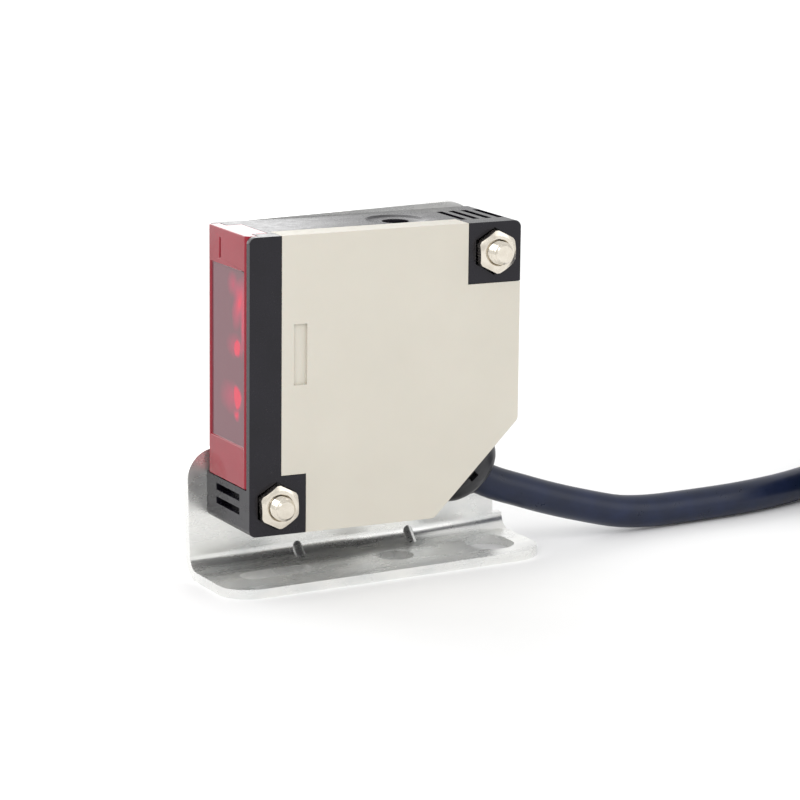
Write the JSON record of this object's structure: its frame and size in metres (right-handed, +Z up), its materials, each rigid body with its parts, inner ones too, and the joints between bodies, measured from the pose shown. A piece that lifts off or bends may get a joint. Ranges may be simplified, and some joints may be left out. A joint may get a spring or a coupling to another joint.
{
  "type": "photoelectric sensor",
  "caption": "Square-bodied photoelectric sensor with a red window, sensitivity adjuster and pre-wired lead in a hank, screwed to a slotted L bracket on which it tilts.",
  "frame": {"origin": "centre of the bracket and sensor seen from above, on the underside of the base plate; the free lead isn't counted", "axes": "the red window looks along -X, set 1.5 degrees upwards, the nut side faces -Y, +Z is up from the base plate"},
  "size_m": [0.2434, 0.0548, 0.0606],
  "materials": {
    "zinc_sheet": "bright zinc plate on folded sheet",
    "case": "fine moulded texture",
    "cover": "satin moulded",
    "window": "polished, see-through red",
    "seal": "matte",
    "lens": "polished moulding",
    "light_guide": "polished moulding",
    "optics_holder": "matte, non-reflecting",
    "led_red": "cast epoxy",
    "diode_resin": "moulded dark epoxy",
    "led_orange": "cast epoxy",
    "board": "solder mask",
    "connector": "moulded",
    "component_black": "moulded",
    "capacitor_sleeve": "shrunk sleeve",
    "film_resin": "dipped epoxy",
    "ferrite": "sintered",
    "trimmer_base": "moulded",
    "trimmer_knob": "moulded",
    "gland": "moulded, slightly soft",
    "cord_jacket": "semi-gloss PVC",
    "core_insulation": "PVC",
    "core_brown": "PVC",
    "core_blue": "PVC",
    "core_black": "PVC",
    "core_white": "PVC",
    "core_grey": "PVC",
    "tinned_copper": "tinned strands",
    "tie": "natural nylon",
    "clamp_steel": "pressed",
    "screw_steel": "nickel plated",
    "spring_steel": "zinc plated"
  },
  "bodies": {
    "bracket": {"bracket": "zinc_sheet", "lead_cord": "cord_jacket", "lead_hank": "cord_jacket", "lead_tail": "cord_jacket", "hank_tie": "tie", "core_brown": "core_brown", "core_blue": "core_blue", "core_black": "core_black", "core_white": "core_white", "core_grey": "core_grey", "core_tips": "tinned_copper"},
    "sensor": {"case": "case", "side_cover": "cover", "cover_seal": "seal", "front_window": "window", "window_seal": "seal", "emitter_lens": "lens", "receiver_lens": "lens", "optical_block": "optics_holder", "emitter_led": "led_red", "receiver_diode": "diode_resin", "light_guide": "light_guide", "indicator_led": "led_orange", "optics_board": "board", "main_board": "board", "board_screws": "screw_steel", "board_connector": "connector", "relay": "component_black", "supply_capacitor": "capacitor_sleeve", "film_capacitor": "film_resin", "choke": "ferrite", "control_ic": "component_black", "adjuster_base": "trimmer_base", "gland": "gland", "cord_clamp": "clamp_steel", "inner_cord": "cord_jacket", "core_wires": "core_insulation", "mount_screws": "screw_steel", "mount_nuts": "screw_steel", "flat_washers": "screw_steel", "spring_washers": "spring_steel"},
    "adjuster": {"adjuster_knob": "trimmer_knob"}
  },
  "joints": [
    {"name": "sensor_tilt", "type": "hinge", "parent": "bracket", "child": "sensor", "pos_m": [0.0196, -0.0014, 0.0544], "axis": [0, 1, 0], "range_deg": [-5.5, 2.5], "deforming": ["lead_cord"]},
    {"name": "adjuster_turn", "type": "hinge", "parent": "sensor", "child": "adjuster", "pos_m": [0.00536, -0.0014, 0.05697], "axis": [0.0262, 0, 0.9997], "range_deg": [-120, 120]}
  ]
}
